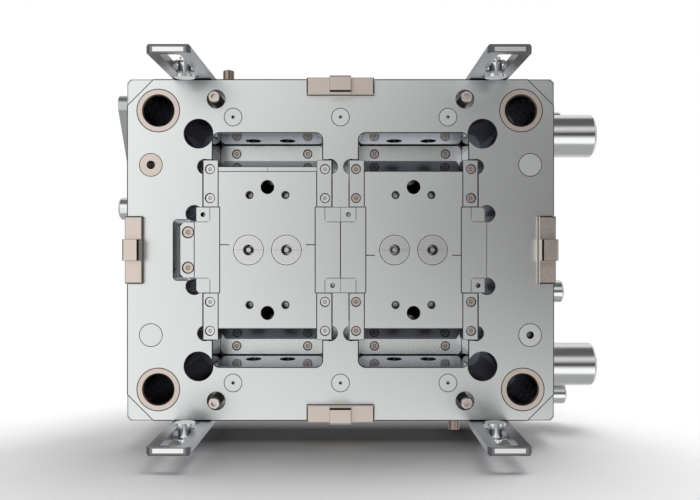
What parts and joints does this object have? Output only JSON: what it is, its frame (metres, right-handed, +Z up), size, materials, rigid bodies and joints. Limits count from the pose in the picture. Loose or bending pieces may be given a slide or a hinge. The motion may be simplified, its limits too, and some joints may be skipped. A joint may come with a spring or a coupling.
{
  "type": "multi-cavity mould",
  "caption": "Moving half of a multi-cavity split mould: plate stack with sliding splits in pairs, guide bushes, side interlocks, limit straps and an ejector set.",
  "frame": {"origin": "centre of the knock-out bore on the back of the clamp plate", "axes": "+Y out of the back of the stack towards the machine platen, +Z up, +X to the right seen from the parting face, which looks along -Y"},
  "size_m": [0.599, 0.434, 0.452],
  "materials": {
    "plate_steel": "satin, ground",
    "tool_steel": "fine ground",
    "polished_steel": "polished",
    "straw_steel": "rose-beige tempered, satin",
    "bronze": "satin bronze",
    "screw_steel": "blackened",
    "coupling_steel": "plated"
  },
  "bodies": {
    "mould": {"split_plate": "plate_steel", "backing_plate": "plate_steel", "spacer_block_left": "plate_steel", "spacer_block_right": "plate_steel", "clamp_plate": "plate_steel", "guide_bushes": "bronze", "core_pins": "polished_steel", "ejector_guide_pins": "polished_steel", "stop_discs": "tool_steel", "gib_rails_left": "tool_steel", "gib_rails_right": "tool_steel", "gib_screws": "straw_steel", "side_lock_outer_left": "tool_steel", "side_lock_inner_left": "tool_steel", "side_lock_inner_right": "tool_steel", "side_lock_outer_right": "tool_steel", "corner_keys": "tool_steel", "wedge_block": "tool_steel", "wedge_screws": "straw_steel", "wear_plates": "polished_steel", "wear_plate_screws": "straw_steel", "interlock_top": "straw_steel", "interlock_bottom": "straw_steel", "interlock_left": "straw_steel", "interlock_right": "straw_steel", "interlock_screws": "screw_steel", "rest_buttons": "tool_steel", "support_pads": "tool_steel", "air_bush": "straw_steel", "limit_straps": "polished_steel", "strap_screws": "screw_steel", "transport_strap_bolt": "polished_steel", "support_feet": "polished_steel", "foot_bolts": "screw_steel", "cooling_couplings": "coupling_steel", "air_nipples": "straw_steel", "clamp_bolts": "screw_steel"},
    "ejector": {"retainer_plate": "plate_steel", "ejector_plate": "plate_steel", "return_pins": "straw_steel", "ejector_sleeves": "polished_steel", "ejector_guide_bushes": "bronze", "ejector_bolts": "screw_steel"},
    "upper_left": {"split_upper_left": "tool_steel", "neck_rings_upper_left": "polished_steel"},
    "lower_left": {"split_lower_left": "tool_steel", "neck_rings_lower_left": "polished_steel"},
    "upper_right": {"split_upper_right": "tool_steel", "neck_rings_upper_right": "polished_steel"},
    "lower_right": {"split_lower_right": "tool_steel", "neck_rings_lower_right": "polished_steel"},
    "bolt_top_left": {"limit_bolt_top_left": "polished_steel"},
    "bolt_top_right": {"limit_bolt_top_right": "polished_steel"},
    "bolt_bottom_left": {"limit_bolt_bottom_left": "polished_steel"},
    "bolt_bottom_right": {"limit_bolt_bottom_right": "polished_steel"},
    "strap": {"transport_strap": "tool_steel"}
  },
  "joints": [
    {"name": "open_upper_left", "type": "slide", "parent": "mould", "child": "upper_left", "axis": [0, 0, 1], "range_m": [0, 0.018]},
    {"name": "open_lower_left", "type": "slide", "parent": "mould", "child": "lower_left", "axis": [0, 0, -1], "range_m": [0, 0.018]},
    {"name": "open_upper_right", "type": "slide", "parent": "mould", "child": "upper_right", "axis": [0, 0, 1], "range_m": [0, 0.018]},
    {"name": "open_lower_right", "type": "slide", "parent": "mould", "child": "lower_right", "axis": [0, 0, -1], "range_m": [0, 0.018]},
    {"name": "eject", "type": "slide", "parent": "mould", "child": "ejector", "axis": [0, -1, 0], "range_m": [-0.0175, 0.025]},
    {"name": "bolt_top_left_slide", "type": "slide", "parent": "mould", "child": "bolt_top_left", "axis": [0, -1, 0], "range_m": [-0.026, 0.067]},
    {"name": "bolt_top_right_slide", "type": "slide", "parent": "mould", "child": "bolt_top_right", "axis": [0, -1, 0], "range_m": [-0.026, 0.067]},
    {"name": "bolt_bottom_left_slide", "type": "slide", "parent": "mould", "child": "bolt_bottom_left", "axis": [0, -1, 0], "range_m": [-0.026, 0.067]},
    {"name": "bolt_bottom_right_slide", "type": "slide", "parent": "mould", "child": "bolt_bottom_right", "axis": [0, -1, 0], "range_m": [-0.026, 0.067]},
    {"name": "strap_swing", "type": "hinge", "parent": "mould", "child": "strap", "pos_m": [-0.258, -0.27, 0.1728], "axis": [1, 0, 0], "range_deg": [-123, 57]}
  ],
  "couplings": [
    {"joint": "open_lower_left", "follows": "open_upper_left", "ratio": 1},
    {"joint": "open_upper_right", "follows": "open_upper_left", "ratio": 1},
    {"joint": "open_lower_right", "follows": "open_upper_left", "ratio": 1}
  ]
}
